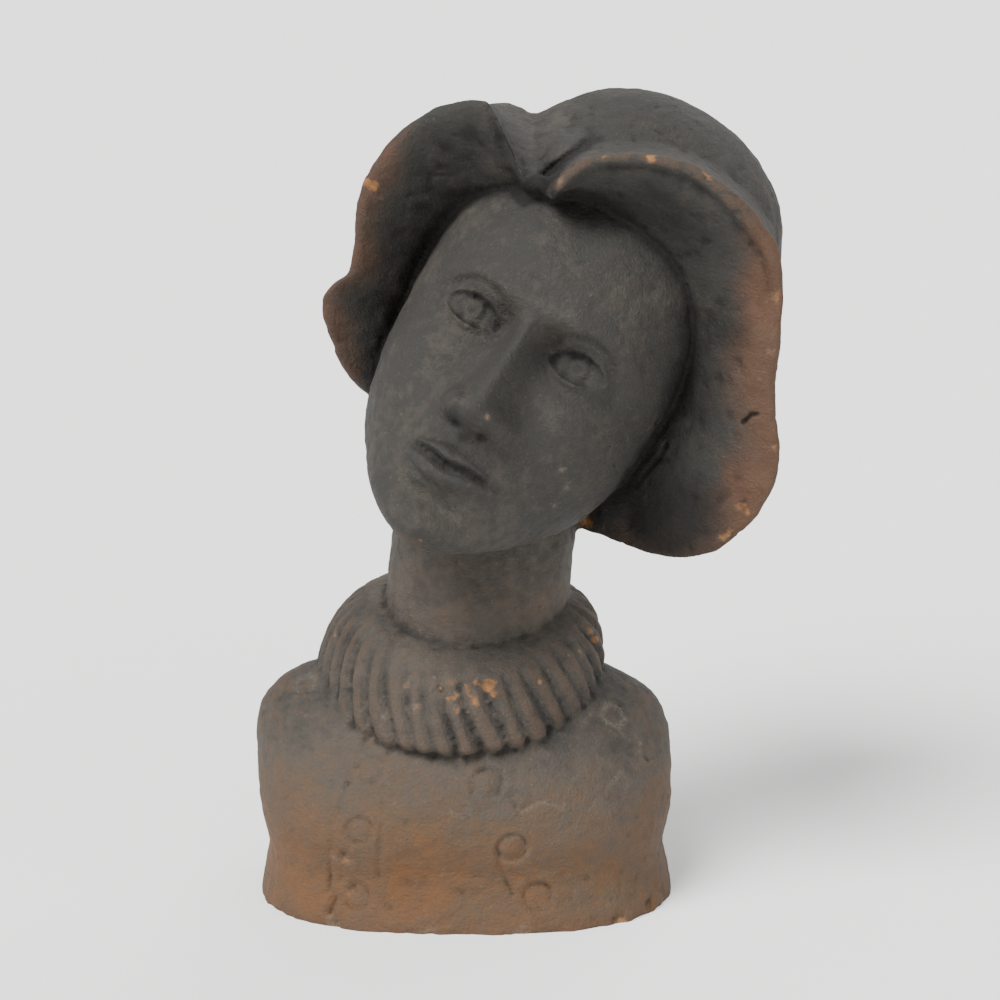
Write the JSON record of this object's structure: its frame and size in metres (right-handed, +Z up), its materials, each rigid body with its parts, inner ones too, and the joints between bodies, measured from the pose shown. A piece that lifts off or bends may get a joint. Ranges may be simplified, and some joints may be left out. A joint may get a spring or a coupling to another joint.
{
  "type": "ceramic bust",
  "caption": "Fired clay bust of a figure with a leaning head, a floppy wide-brimmed hat, a ribbed roll collar and a coat with stamped buttons, cut flat below.",
  "frame": {"origin": "middle of the coat's flat underside", "axes": "+Z up; the figure looks along -Y; +X is the viewer's right for one who faces the bust, the side to which the head leans"},
  "size_m": [0.1954, 0.1713, 0.2992],
  "materials": {
    "fired_clay": "unglazed smoke-fired clay, matte, charcoal above and brown below"
  },
  "bodies": {
    "root": {"bust": "fired_clay"}
  },
  "joints": []
}
